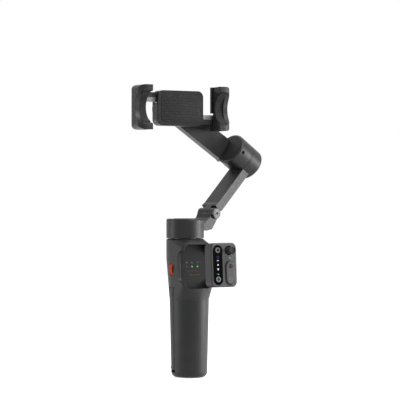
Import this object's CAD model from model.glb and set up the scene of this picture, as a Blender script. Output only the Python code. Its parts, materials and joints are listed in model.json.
import json
import math

import bmesh
import bpy
from mathutils import Matrix, Vector


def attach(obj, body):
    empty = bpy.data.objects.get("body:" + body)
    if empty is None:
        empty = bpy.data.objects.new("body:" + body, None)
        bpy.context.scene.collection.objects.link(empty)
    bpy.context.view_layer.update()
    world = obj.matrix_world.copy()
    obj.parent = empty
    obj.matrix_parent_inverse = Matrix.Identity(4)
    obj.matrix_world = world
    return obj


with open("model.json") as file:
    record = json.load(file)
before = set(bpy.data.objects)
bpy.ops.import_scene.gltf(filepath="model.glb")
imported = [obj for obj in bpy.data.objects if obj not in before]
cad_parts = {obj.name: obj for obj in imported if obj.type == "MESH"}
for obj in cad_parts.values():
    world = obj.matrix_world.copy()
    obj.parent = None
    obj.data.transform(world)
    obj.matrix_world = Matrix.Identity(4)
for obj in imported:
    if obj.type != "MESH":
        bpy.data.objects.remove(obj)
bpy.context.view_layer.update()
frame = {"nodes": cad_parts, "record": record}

MM = 0.001
scene = bpy.context.scene
nodes = frame["nodes"]

# Camera: level, 30 degrees round to the object's left
VIEW = math.radians(30)
LOOK = Vector((math.sin(VIEW), math.cos(VIEW), 0))
RIGHT = Vector((math.cos(VIEW), -math.sin(VIEW), 0))
CAMERA_AT = (-0.8911, -1.5640, 0.1693)
camera_data = bpy.data.cameras.new("camera")
camera_data.sensor_width = 36
camera_data.lens = 169.2
camera_data.clip_start = 0.1
camera_data.clip_end = 30
camera = bpy.data.objects.new("camera", camera_data)
scene.collection.objects.link(camera)
camera.location = CAMERA_AT
camera.rotation_euler = (math.radians(90), 0, -VIEW)
scene.camera = camera
scene.view_settings.view_transform = "Standard"

# Lamps: two low ones beside the object, two soft ones above and behind it. Each has a name, the turn in
# degrees from the camera's side round to the right, the height over the aim, the distance, the lamp's
# width and height, and the power.
AIM = Vector((0.02, 0, 0.15))
LAMPS = (
    ("key", 91, 0.0, 1.1, (0.7, 0.3), 10.2),
    ("left_strip", -84, 0.02, 1.1, (0.3, 0.4), 3),
    ("top", 55, 1.05, 0.85, (0.6, 0.6), 17),
    ("behind", 185, 1.4, 0.8, (0.9, 0.9), 10),
)
for name, turn, height, distance, size, power in LAMPS:
    lamp_data = bpy.data.lights.new(name, "AREA")
    lamp_data.shape = "RECTANGLE"
    lamp_data.size, lamp_data.size_y = size
    lamp_data.energy = power
    lamp = bpy.data.objects.new(name, lamp_data)
    scene.collection.objects.link(lamp)
    away = -LOOK * math.cos(math.radians(turn)) + RIGHT * math.sin(math.radians(turn))
    lamp.location = AIM + away * distance + Vector((0, 0, height))
    lamp.rotation_euler = (AIM - lamp.location).to_track_quat("-Z", "Y").to_euler()


# Nodes
def connect(tree, node, inputs):
    """Sets a node's inputs to plain values, or links them to other nodes' outputs."""
    for socket, value in inputs.items():
        if isinstance(value, bpy.types.NodeSocket):
            tree.links.new(value, node.inputs[socket])
        else:
            node.inputs[socket].default_value = value


def new_node(tree, kind, inputs):
    node = tree.nodes.new(kind)
    connect(tree, node, inputs)
    return node


def calculate(tree, operation, first, second):
    node = new_node(tree, "ShaderNodeMath", {0: first, 1: second})
    node.operation = operation
    return node.outputs[0]


def dot_product(tree, first, second):
    node = new_node(tree, "ShaderNodeVectorMath", {0: first, 1: second})
    node.operation = "DOT_PRODUCT"
    return node.outputs["Value"]


def seen_rays(tree):
    """1 for the rays that show the background: straight from the camera, off gloss, or through glass."""
    path = tree.nodes.new("ShaderNodeLightPath")
    seen = path.outputs["Is Camera Ray"]
    for ray in ("Is Glossy Ray", "Is Transmission Ray"):
        seen = calculate(tree, "MAXIMUM", seen, path.outputs[ray])
    return seen


def spread(tree, value, low, high, centre=0.5, half=0.25):
    """Maps a band of a value, by default a noise's middle one, to the range low to high."""
    return new_node(tree, "ShaderNodeMapRange", {
        "Value": value, "From Min": centre - half, "From Max": centre + half, "To Min": low, "To Max": high,
    }).outputs["Result"]


def noise(tree, coords, per_metre, detail=3.0, rough=0.5, stretch=(1, 1, 1)):
    move = new_node(tree, "ShaderNodeMapping", {"Vector": coords.outputs["Object"], "Scale": stretch})
    return new_node(tree, "ShaderNodeTexNoise", {
        "Vector": move.outputs["Vector"], "Scale": per_metre, "Detail": detail, "Roughness": rough,
    }).outputs["Fac"]


def mix_colours(tree, value, first, second):
    """Goes from the first to the second, each a colour or an output."""
    node = tree.nodes.new("ShaderNodeMix")
    node.data_type = "RGBA"
    first, second = ((*tone, 1) if isinstance(tone, tuple) else tone for tone in (first, second))
    connect(tree, node, {"A": first, "B": second, "Factor": value})
    return node.outputs["Result"]


def mottled(tree, coords, per_metre, first, second, **noise_settings):
    """A tone that wanders between two colours."""
    return mix_colours(tree, spread(tree, noise(tree, coords, per_metre, **noise_settings), 0.0, 1.0), first, second)


def bump(tree, height, depth, normal):
    return new_node(tree, "ShaderNodeBump", {"Height": height, "Distance": depth, "Normal": normal}).outputs["Normal"]


def soft_edges(tree, radius):
    """Normals rounded over the edges, and a mask that is 1 on them."""
    bevel = new_node(tree, "ShaderNodeBevel", {"Radius": radius})
    bevel.samples = 4
    flat = tree.nodes.new("ShaderNodeNewGeometry")
    straight = dot_product(tree, bevel.outputs["Normal"], flat.outputs["Normal"])
    return bevel.outputs["Normal"], spread(tree, straight, 1.0, 0.0, centre=0.93, half=0.06)


# Surround: white where it is seen, dimmer where it lights
WORLD_LIGHT = 0.22
world = bpy.data.worlds.new("surround")
scene.world = world
world.use_nodes = True
surround = world.node_tree
connect(surround, surround.nodes["Background"], {
    "Color": (1, 1, 1, 1),
    "Strength": spread(surround, seen_rays(surround), WORLD_LIGHT, 1.0, half=0.5),
})

# Frames of the object's sub-assemblies, in metres, made from lengths in millimetres
DOCK_Y, DOCK_Z, DOCK_LEAN = -7.5, 105.5, math.radians(3.5)
REMOTE_AWAY = 45.9
REMOTE_FACE = 12.5
PAN_Y, ARM_TURN = 8, math.radians(15)
HINGE_X, HINGE_Z, ARM_SLOPE = 31.5, 156.3, math.radians(43.5)
ROLL_Y, CLAMP_Z = 30, 257.8


def shifted(x, y, z):
    return Matrix.Translation((x * MM, y * MM, z * MM))


def turned(axis_x, axis_y, at):
    """A frame with x and y along the two given axes."""
    x, y = Vector(axis_x), Vector(axis_y)
    return Matrix.Translation(Vector(at) * MM) @ Matrix((x, y, x.cross(y))).transposed().to_4x4()


def facing_front(at):
    return turned((1, 0, 0), (0, 0, 1), at)


def facing_right(at):
    return turned((0, 1, 0), (0, 0, 1), at)


DOCK = shifted(0, DOCK_Y, DOCK_Z) @ Matrix.Rotation(math.pi / 2 - DOCK_LEAN, 4, "X")
REMOTE = DOCK @ shifted(0, 0, REMOTE_AWAY)
CLAMP = shifted(0, 0, CLAMP_Z)
ROLL = shifted(0, ROLL_Y, CLAMP_Z) @ Matrix.Rotation(-math.pi / 2, 4, "X")
PAN_ARM = shifted(0, PAN_Y, 0) @ Matrix.Rotation(ARM_TURN, 4, "Z")
UPPER_ARM = PAN_ARM @ shifted(HINGE_X, 0, HINGE_Z) @ Matrix.Rotation(-ARM_SLOPE, 4, "Y")


# Materials: every one is made of nodes in the object's own space, in metres
def new_material(name):
    mat = bpy.data.materials.new(name)
    mat.use_nodes = True
    tree = mat.node_tree
    return mat, tree, tree.nodes["Principled BSDF"], tree.nodes.new("ShaderNodeTexCoord")


def moulded(name, dark, light, rough=(0.42, 0.55), grain=0.00003, per_metre=2200.0, edge=0.0005, worn=0.35,
            specular=0.4, coat=0.0, sheen=0.0):
    """Moulded plastic or rubber: fine spark-eroded grain, cloudy tone, and edges rubbed a little paler."""
    mat, tree, shader, coords = new_material(name)
    rounded_normal, mask = soft_edges(tree, edge)
    rub = calculate(tree, "MULTIPLY", mask, spread(tree, noise(tree, coords, 260.0), 0.2 * worn, worn))
    paler = tuple(min(1.0, 2.6 * c + 0.03) for c in light)
    fine = noise(tree, coords, per_metre, detail=4.0, rough=0.6)
    connect(tree, shader, {
        "Base Color": mix_colours(tree, rub, mottled(tree, coords, 70.0, dark, light), paler),
        "Roughness": spread(tree, noise(tree, coords, 420.0), *rough),
        "Normal": bump(tree, fine, grain, rounded_normal),
        "Specular IOR Level": specular,
        "Coat Weight": coat,
        "Coat Roughness": 0.06,
        "Sheen Weight": sheen,
    })
    return mat


def metal(name, dark, light, rough=(0.22, 0.38), stretch=(1, 1, 30), edge=0.0003):
    """Turned or brushed metal: long fine scratches, uneven polish."""
    mat, tree, shader, coords = new_material(name)
    streak = noise(tree, coords, 900.0, detail=5.0, stretch=stretch)
    rounded_normal, _ = soft_edges(tree, edge)
    connect(tree, shader, {
        "Base Color": mix_colours(tree, spread(tree, streak, 0.0, 1.0), dark, light),
        "Roughness": spread(tree, streak, *rough),
        "Normal": bump(tree, streak, 0.00001, rounded_normal),
        "Metallic": 1.0,
    })
    return mat


DIM_BELOW_X, DIM_BEHIND_Y = -4, -30


def glowing(name, core, glow, strength, dim_left=False):
    """A light behind a small diffusing lens: a mottled core that glows."""
    mat, tree, shader, coords = new_material(name)
    tone = mottled(tree, coords, 1500.0, core, glow)
    if dim_left:
        # The left one of the three lights in the dock is a dim blue; the remote's lights lie further forward
        place = new_node(tree, "ShaderNodeSeparateXYZ", {0: coords.outputs["Object"]})
        left = calculate(tree, "LESS_THAN", place.outputs["X"], DIM_BELOW_X * MM)
        in_dock = calculate(tree, "GREATER_THAN", place.outputs["Y"], DIM_BEHIND_Y * MM)
        tone = mix_colours(tree, calculate(tree, "MULTIPLY", left, in_dock), tone, (0.03, 0.045, 0.075))
    connect(tree, shader, {
        "Base Color": tone,
        "Emission Color": tone,
        "Emission Strength": strength,
        "Roughness": 0.25,
    })
    return mat


def satin_front(mat, low, high):
    """A paler satin finish on what lies in front of the remote's soft edge."""
    tree = mat.node_tree
    base = tree.nodes["Principled BSDF"].inputs["Base Color"]
    coords = tree.nodes.new("ShaderNodeTexCoord")
    outward = REMOTE.to_3x3() @ Vector((0, 0, 1))
    edge = (REMOTE @ Vector((0, 0, (REMOTE_FACE - 0.4) * MM))).dot(outward)
    front = calculate(tree, "GREATER_THAN", dot_product(tree, coords.outputs["Object"], outward), edge)
    satin = mottled(tree, coords, 900.0, low, high)
    tree.links.new(mix_colours(tree, front, base.links[0].from_socket, satin), base)
    return mat


CHARCOAL = dict(dark=(0.015, 0.0151, 0.0155), light=(0.022, 0.0221, 0.0225), rough=(0.38, 0.46), specular=0.25)
PRINT = dict(rough=(0.5, 0.6), edge=0.0001)
MOULDED = {
    "charcoal_shell": CHARCOAL,
    "remote_shell": CHARCOAL,
    "leg_shell": dict(dark=(0.010, 0.0101, 0.0105), light=(0.014, 0.0141, 0.0145), rough=(0.44, 0.52),
                      specular=0.2),
    "foot_rubber": dict(dark=(0.011, 0.0111, 0.0115), light=(0.016, 0.0161, 0.0165), rough=(0.46, 0.58),
                        worn=0.15, specular=0.22),
    "black_rubber": dict(dark=(0.006, 0.006, 0.0065), light=(0.012, 0.012, 0.0125), rough=(0.65, 0.85),
                         grain=0.00006, per_metre=1400.0, worn=0.15, specular=0.25, sheen=0.1),
    "dock_plate": dict(dark=(0.006, 0.0061, 0.0065), light=(0.010, 0.0101, 0.0105), rough=(0.32, 0.42),
                       grain=0.00001, specular=0.2),
    "gloss_panel": dict(dark=(0.0015, 0.0015, 0.002), light=(0.003, 0.003, 0.004), rough=(0.05, 0.10),
                        grain=0.000002, worn=0.05, specular=0.04),
    "button_ring": dict(dark=(0.16, 0.16, 0.165), light=(0.22, 0.22, 0.225), rough=(0.35, 0.5), edge=0.0002),
    "orange_wheel": dict(dark=(0.55, 0.045, 0.012), light=(0.70, 0.065, 0.018), rough=(0.4, 0.55),
                         edge=0.0002, worn=0.1, specular=0.2),
    "circuit_board": dict(dark=(0.01, 0.09, 0.035), light=(0.02, 0.14, 0.055), rough=(0.25, 0.4)),
    "cell_wrap": dict(dark=(0.03, 0.10, 0.22), light=(0.05, 0.14, 0.30), rough=(0.15, 0.3), coat=0.4),
    "grey_print": dict(PRINT, dark=(0.16, 0.16, 0.165), light=(0.22, 0.22, 0.225)),
    "red_print": dict(PRINT, dark=(0.10, 0.018, 0.014), light=(0.15, 0.026, 0.02)),
    "faint_print": dict(PRINT, dark=(0.07, 0.07, 0.075), light=(0.10, 0.10, 0.105)),
    "dark_print": dict(PRINT, dark=(0.002, 0.002, 0.002), light=(0.004, 0.004, 0.004), rough=(0.6, 0.7),
                       worn=0.0, specular=0.1),
}
METALS = {
    "steel": dict(dark=(0.12, 0.12, 0.125), light=(0.22, 0.22, 0.225), rough=(0.35, 0.5)),
    "black_steel": dict(dark=(0.006, 0.006, 0.006), light=(0.014, 0.014, 0.014), rough=(0.5, 0.65)),
    "bright_metal": dict(dark=(0.045, 0.045, 0.047), light=(0.088, 0.088, 0.090), rough=(0.38, 0.5),
                         stretch=(1, 1, 1)),
    "brass": dict(dark=(0.55, 0.38, 0.14), light=(0.74, 0.55, 0.24)),
    "gold": dict(dark=(0.10, 0.07, 0.027), light=(0.17, 0.12, 0.05), rough=(0.35, 0.5)),
    "copper_winding": dict(dark=(0.36, 0.13, 0.05), light=(0.62, 0.26, 0.10), stretch=(1, 1, 60)),
    "cell_pouch": dict(dark=(0.45, 0.45, 0.47), light=(0.6, 0.6, 0.62), rough=(0.35, 0.5)),
}
LIGHTS = {
    "green_light": dict(core=(0.10, 0.36, 0.07), glow=(0.17, 0.50, 0.13), strength=0.55, dim_left=True),
    "teal_light": dict(core=(0.09, 0.20, 0.17), glow=(0.15, 0.29, 0.25), strength=0.6),
    "white_light": dict(core=(0.45, 0.47, 0.50), glow=(0.65, 0.67, 0.70), strength=0.9),
    "violet_light": dict(core=(0.010, 0.005, 0.07), glow=(0.018, 0.009, 0.11), strength=0.2),
}
looks = {name: maker(name, **values)
         for maker, table in ((moulded, MOULDED), (metal, METALS), (glowing, LIGHTS))
         for name, values in table.items()}
satin_front(looks["remote_shell"], (0.078, 0.078, 0.0785), (0.094, 0.094, 0.0945))

# The CAD's nodes: each has its slot's look, but for the remote's front and the feet.
# Round forms shade smoothly, edges stay sharp.
OWN_LOOKS = {"remote_front": "remote_shell", "zoom_rocker": "remote_shell",
             "left_foot": "foot_rubber", "right_foot": "foot_rubber", "rear_foot": "foot_rubber"}
NODE_CREASE, PIECE_CREASE = math.radians(28), math.radians(32)
for part in frame["record"]["subparts"]:
    mesh = nodes[part["node"]].data
    mesh.materials.clear()
    mesh.materials.append(looks[OWN_LOOKS.get(part["node"], part["material_slot"])])
    mesh.shade_smooth()
    mesh.set_sharp_from_angle(angle=NODE_CREASE)


# Shapes, drawn in millimetres into a bmesh
def rounded(w, h, r, steps=8):
    """Outline of a rectangle with round corners."""
    points = []
    for cx, cy, start in ((1, 1, 0), (-1, 1, 90), (-1, -1, 180), (1, -1, 270)):
        for i in range(steps + 1):
            a = math.radians(start + 90 * i / steps)
            points.append((cx * (w / 2 - r) + r * math.cos(a), cy * (h / 2 - r) + r * math.sin(a)))
    return points


def circle(r, count, at=(0, 0)):
    return [(at[0] + r * math.cos(2 * math.pi * i / count), at[1] + r * math.sin(2 * math.pi * i / count))
            for i in range(count)]


def bridge(bm, lower, upper):
    """The band of faces between two rows of points."""
    for i in range(len(lower)):
        j = (i + 1) % len(lower)
        bm.faces.new((lower[i], lower[j], upper[j], upper[i]))


def prism(bm, outline, low, high, at=(0, 0), soft=0.0):
    """A closed block over an outline, with its top edge softened by an inset slope."""
    cx = sum(p[0] for p in outline) / len(outline)
    cy = sum(p[1] for p in outline) / len(outline)
    reach = max(math.hypot(p[0] - cx, p[1] - cy) for p in outline)
    levels = [(low, 1.0), (high - soft, 1.0)]
    if soft:
        for i in range(1, 4):
            a = math.pi / 2 * i / 3
            levels.append((high - soft + soft * math.sin(a), 1 - soft / reach * (1 - math.cos(a))))
    rows = [[bm.verts.new((at[0] + cx + (x - cx) * s, at[1] + cy + (y - cy) * s, z)) for x, y in outline]
            for z, s in levels]
    for lower, upper in zip(rows, rows[1:]):
        bridge(bm, lower, upper)
    bm.faces.new(rows[0][::-1])
    bm.faces.new(rows[-1])


def lathe(bm, profile, count, at=(0, 0), closed=True):
    """Turns a profile of (radius, height) about the z axis; an open one gets a face at each end."""
    rows = [[bm.verts.new((x, y, z)) for x, y in circle(r, count, at)] for r, z in profile]
    if not closed:
        bm.faces.new(rows[0][::-1])
        bm.faces.new(rows[-1])
    for lower, upper in zip(rows, rows[1:] + (rows[:1] if closed else [])):
        bridge(bm, lower, upper)


def ring(bm, outer, inner, low, high, count=32, at=(0, 0)):
    """A flat ring of square section."""
    lathe(bm, [(outer, low), (outer, high), (inner, high), (inner, low)], count, at)


def cap_disc(bm, r, low, count, at=(0, 0)):
    """A thin disc with a sloped rim."""
    lathe(bm, [(0, low), (r, low), (r, low + 0.2), (r - 0.4, low + 0.4), (0, low + 0.4)], count, at, closed=False)


def screw_head(bm, x, y, low, r=1.0, high=0.3):
    """A low screw head with a round socket."""
    lathe(bm, [(0, low), (r, low), (r, low + high - 0.1), (r - 0.15, low + high), (r * 0.5, low + high),
               (r * 0.42, low + 0.05), (0, low + 0.05)], 18, (x, y), closed=False)


def add_piece(name, bm, place, look, body):
    """A mesh drawn in millimetres in a frame of its own, put in that place and carried by a body."""
    bmesh.ops.recalc_face_normals(bm, faces=bm.faces)
    mesh = bpy.data.meshes.new(name)
    bm.to_mesh(mesh)
    bm.free()
    mesh.transform(place @ Matrix.Scale(MM, 4))
    mesh.materials.append(looks[look])
    mesh.shade_smooth()
    mesh.set_sharp_from_angle(angle=PIECE_CREASE)
    obj = bpy.data.objects.new(name, mesh)
    scene.collection.objects.link(obj)
    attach(obj, body)


# Dock: signs over the three status lights, red marks under them
LIGHT_X, LIGHT_Y, LIGHT_PITCH = -1.2, 0.3, 5.9
SIGN_Y, RED_Y = LIGHT_Y + 3.9, LIGHT_Y - 4.2
PRINT_T = 0.06
marks = bmesh.new()
prism(marks, rounded(1.9, 1.0, 0.25, 3), 0, PRINT_T, (LIGHT_X - LIGHT_PITCH, SIGN_Y))
prism(marks, rounded(0.35, 0.5, 0.1, 2), 0, PRINT_T, (LIGHT_X - LIGHT_PITCH + 1.25, SIGN_Y))
ring(marks, 0.95, 0.6, 0, PRINT_T, at=(LIGHT_X, SIGN_Y))
for i in range(3):
    prism(marks, rounded(0.4, 0.6 + 0.5 * i, 0.12, 2), 0, PRINT_T,
          (LIGHT_X + LIGHT_PITCH + 0.65 * (i - 1), SIGN_Y + 0.25 * i - 0.3))
add_piece("dock_marks", marks, DOCK, "faint_print", "handle")
red = bmesh.new()
for i in range(3):
    prism(red, rounded(1.5, 0.35, 0.15, 2), 0, PRINT_T, (LIGHT_X + (i - 1) * LIGHT_PITCH * 0.75, RED_Y))
add_piece("dock_red_marks", red, DOCK, "red_print", "handle")

# Remote: lit signs on the gloss panel
PANEL_X, SIGN_LOW = -6.9, REMOTE_FACE + 0.2
SIGN_HIGH = SIGN_LOW + PRINT_T
lit = bmesh.new()
prism(lit, [(-0.8, 0), (0, -0.8), (0.8, 0), (0, 0.8)], SIGN_LOW, SIGN_HIGH, (PANEL_X, 0.2))
ring(lit, 0.85, 0.35, SIGN_LOW, SIGN_HIGH, 24, (PANEL_X, -3.8))
prism(lit, rounded(1.7, 0.5, 0.2, 3), SIGN_LOW, SIGN_HIGH, (PANEL_X, 4.1))
add_piece("panel_white_signs", lit, REMOTE, "white_light", "remote")
lit = bmesh.new()
prism(lit, rounded(1.9, 0.6, 0.25, 3), SIGN_LOW, SIGN_HIGH, (PANEL_X, -8.4))
add_piece("panel_green_sign", lit, REMOTE, "green_light", "remote")
lit = bmesh.new()
ring(lit, 1.2, 0.75, SIGN_LOW, SIGN_HIGH, 24, (PANEL_X, 7.2))
add_piece("panel_violet_sign", lit, REMOTE, "violet_light", "remote")

# Remote: dished rubber tops in the buttons' rings
BUTTON_X, BUTTON_LOW, BUTTON_R = -7.0, REMOTE_FACE + 0.3, 1.45
for name, y in (("upper_button", 13.8), ("lower_button", -13.2)):
    top = bmesh.new()
    lathe(top, [(0, BUTTON_LOW), (BUTTON_R, BUTTON_LOW), (BUTTON_R, BUTTON_LOW + 0.12), (0.9, BUTTON_LOW + 0.06),
                (0, BUTTON_LOW + 0.04)], 32, (BUTTON_X, y), closed=False)
    add_piece(name + "_top", top, REMOTE, "black_rubber", name)

# Remote: a dark plus and a faint minus on the rocker, each in a ring
ROCKER_X, ROCKER_Y, ROCKER_TOP, ROCKER_REACH = 5.9, -7.4, REMOTE_FACE + 1.3, 6.2
ROCKER_IN, BAR_HIGH = ROCKER_TOP - 0.1, ROCKER_TOP + 0.08
for name, look, y, stroke in (("rocker_upper_sign", "dark_print", ROCKER_Y + ROCKER_REACH, 0.7),
                              ("rocker_lower_sign", "grey_print", ROCKER_Y - ROCKER_REACH, 0.4)):
    signs = bmesh.new()
    ring(signs, 2.1, 2.15 - stroke, ROCKER_IN, ROCKER_TOP + 0.05, at=(ROCKER_X, y))
    prism(signs, rounded(1.9, stroke, 0.15, 2), ROCKER_IN, BAR_HIGH, (ROCKER_X, y))
    if name == "rocker_upper_sign":
        for side in (-1, 1):
            prism(signs, rounded(stroke, 0.65, 0.15, 2), ROCKER_IN, BAR_HIGH, (ROCKER_X, y + side * 0.68))
    add_piece(name, signs, REMOTE, look, "zoom_rocker")

# Joystick: a dome that closes the hole round the stick, a knurled rim on its cap and a ring on top
STICK, PIVOT_Z = (5, 13.4), 9.1
DOME_OUT, DOME_IN = 4.0, 3.74
KNURLS, KNURL_LOW, KNURL_HIGH = 28, 17.9, 19.4
CAP_R, CAP_TOP = 3.6, REMOTE_FACE + 7.6
dome = bmesh.new()
slope = [math.radians(30 + 4.5 * i) for i in range(9)]
lathe(dome, [(DOME_OUT * math.cos(a), PIVOT_Z + DOME_OUT * math.sin(a)) for a in slope]
      + [(DOME_IN * math.cos(a), PIVOT_Z + DOME_IN * math.sin(a)) for a in reversed(slope)], 48, STICK)
add_piece("joystick_dome", dome, REMOTE, "black_rubber", "joystick")
knurl = bmesh.new()
for at in circle(CAP_R, KNURLS, STICK):
    prism(knurl, circle(0.2, 8), KNURL_LOW, KNURL_HIGH, at, 0.1)
add_piece("joystick_knurl", knurl, REMOTE, "black_rubber", "joystick")
rim = bmesh.new()
lathe(rim, [(3.45, CAP_TOP - 0.22), (3.36, CAP_TOP - 0.06), (3.12, CAP_TOP - 0.01), (2.9, CAP_TOP - 0.06),
            (2.8, CAP_TOP - 0.22)], 48, STICK)
add_piece("joystick_rim", rim, REMOTE, "button_ring", "joystick")

# Clamp: ribbed rubber on the body's front, and ribs on the jaws' pads beside their round scoops
PAD_Y, PAD_W, PAD_H, PAD_CORNER = 16.4, 43, 27, 4.5
RIBS, RIB_PITCH, RIB_W, RIB_H = 9, 2.6, 37, 1.3
JAW_RIBS, JAW_RIB_PITCH, JAW_RIB_H = 13, 2.45, 1.1
JAW_FACE_X, JAW_BACK, JAW_LIP, SCOOP_R, SCOOP_DEEP = 38.2, 19.8, 7.8, 14.2, 16.5
pad = bmesh.new()
prism(pad, rounded(PAD_W, PAD_H, PAD_CORNER), -0.05, 0.2, soft=0.12)
for i in range(RIBS):
    prism(pad, rounded(RIB_W, RIB_H, 0.6, 4), 0.15, 0.33, (0, RIB_PITCH * (i - RIBS // 2)), 0.1)
add_piece("clamp_pad", pad, facing_front((0, PAD_Y, CLAMP_Z)), "black_rubber", "clamp")
left_face = facing_right((-JAW_FACE_X, 0, CLAMP_Z))
right_face = CLAMP @ Matrix.Rotation(math.pi, 4, "Y") @ CLAMP.inverted() @ left_face
for body, place in (("left_jaw", left_face), ("right_jaw", right_face)):
    ribs = bmesh.new()
    for i in range(JAW_RIBS):
        z = JAW_RIB_PITCH * (i - JAW_RIBS // 2)
        scoop = SCOOP_DEEP - SCOOP_R + math.sqrt(max(0.0, SCOOP_R ** 2 - z * z))
        begin = max(JAW_LIP, scoop + 0.6)
        prism(ribs, rounded(JAW_BACK - begin, JAW_RIB_H, 0.5, 3), -0.05, 0.24, ((JAW_BACK + begin) / 2, z), 0.12)
    add_piece(body + "_pad_ribs", ribs, place, "black_rubber", body)

# Motors: turned caps, the roll motor's with three screws
ROLL_BACK, ROLL_RING_OUT, ROLL_RING_IN, ROLL_CAP_R, ROLL_SCREWS_R = 14.9, 12.6, 11.9, 7.0, 9.5
PAN_TOP, PAN_CAP_R = 151.3, 11.0
roll_back = bmesh.new()
ring(roll_back, ROLL_RING_OUT, ROLL_RING_IN, ROLL_BACK, ROLL_BACK + 0.3, 96)
cap_disc(roll_back, ROLL_CAP_R, ROLL_BACK, 64)
for i in range(3):
    a = math.radians(90 + 120 * i)
    screw_head(roll_back, ROLL_SCREWS_R * math.cos(a), ROLL_SCREWS_R * math.sin(a), ROLL_BACK + 0.05)
add_piece("roll_cap", roll_back, ROLL, "charcoal_shell", "tilt_link")
pan_top = bmesh.new()
cap_disc(pan_top, PAN_CAP_R, PAN_TOP, 96, (0, PAN_Y))
add_piece("pan_cap", pan_top, Matrix.Identity(4), "charcoal_shell", "pan_arm")

# Hinge cap: turned rings round a six-sided socket
HINGE_CAP_Y = -12.1
hinge_cap = PAN_ARM @ facing_front((HINGE_X, HINGE_CAP_Y, HINGE_Z))
rings = bmesh.new()
ring(rings, 3.9, 3.4, -0.05, 0.12, 48)
ring(rings, 2.6, 1.5, -0.05, 0.2, 48)
add_piece("hinge_cap_rings", rings, hinge_cap, "bright_metal", "pan_arm")
socket = bmesh.new()
prism(socket, circle(1.3, 6), -0.02, 0.04)
add_piece("hinge_cap_socket", socket, hinge_cap, "black_steel", "pan_arm")

# Upper arm: cover plate with two screws on its back
ARM_BACK, COVER_X, SCREWS_X = 9.5, 33, (17.5, 48.5)
COVER_L, COVER_W, COVER_CORNER = 38, 6.2, 2.6
cover = bmesh.new()
prism(cover, rounded(COVER_L, COVER_W, COVER_CORNER), -0.05, 0.28, (COVER_X, 0), 0.15)
for x in SCREWS_X:
    screw_head(cover, x, 0, 0.25)
arm_back = UPPER_ARM @ turned((1, 0, 0), (0, 0, -1), (0, ARM_BACK, 0))
add_piece("arm_cover", cover, arm_back, "charcoal_shell", "upper_arm")

# Right side: tongue of the socket, sign on the power button
SOCKET_AT, POWER_AT = (11.5, 3, 93.5), (18.7, 3, 106)
tongue = bmesh.new()
prism(tongue, rounded(6.4, 0.7, 0.3, 3), 0.3, 4.0, soft=0.15)
add_piece("usb_tongue", tongue, facing_right(SOCKET_AT), "black_rubber", "handle")
sign = bmesh.new()
ring(sign, 1.6, 1.25, -0.02, 0.06)
prism(sign, rounded(0.35, 1.3, 0.15, 2), -0.02, 0.06, (0, 0.9))
add_piece("power_sign", sign, facing_right(POWER_AT), "grey_print", "power_button")

# Floor: pale and lifted to white where it is seen, dark where it only throws light, so that the shadow
# stays and the object's shaded sides aren't filled from below
FLOOR_REACH, FLOOR_DROP, FLOOR_LIFT = 8.0, 0.0005, 0.85
floor_mat, tree, shader, coords = new_material("floor")
seen = seen_rays(tree)
pale = mottled(tree, coords, 4.0, (0.90, 0.90, 0.90), (0.93, 0.93, 0.93))
connect(tree, shader, {
    "Base Color": mix_colours(tree, seen, (0.2, 0.2, 0.2), pale),
    "Roughness": 0.9,
    "Specular IOR Level": 0.0,
    "Emission Color": (1, 1, 1, 1),
    "Emission Strength": spread(tree, seen, 0.0, FLOOR_LIFT, half=0.5),
})
floor = bmesh.new()
bmesh.ops.create_grid(floor, x_segments=2, y_segments=2, size=FLOOR_REACH)
floor_mesh = bpy.data.meshes.new("floor")
floor.to_mesh(floor_mesh)
floor.free()
floor_mesh.materials.append(floor_mat)
floor_obj = bpy.data.objects.new("floor", floor_mesh)
floor_obj.location = (0, 0, -FLOOR_DROP)
scene.collection.objects.link(floor_obj)
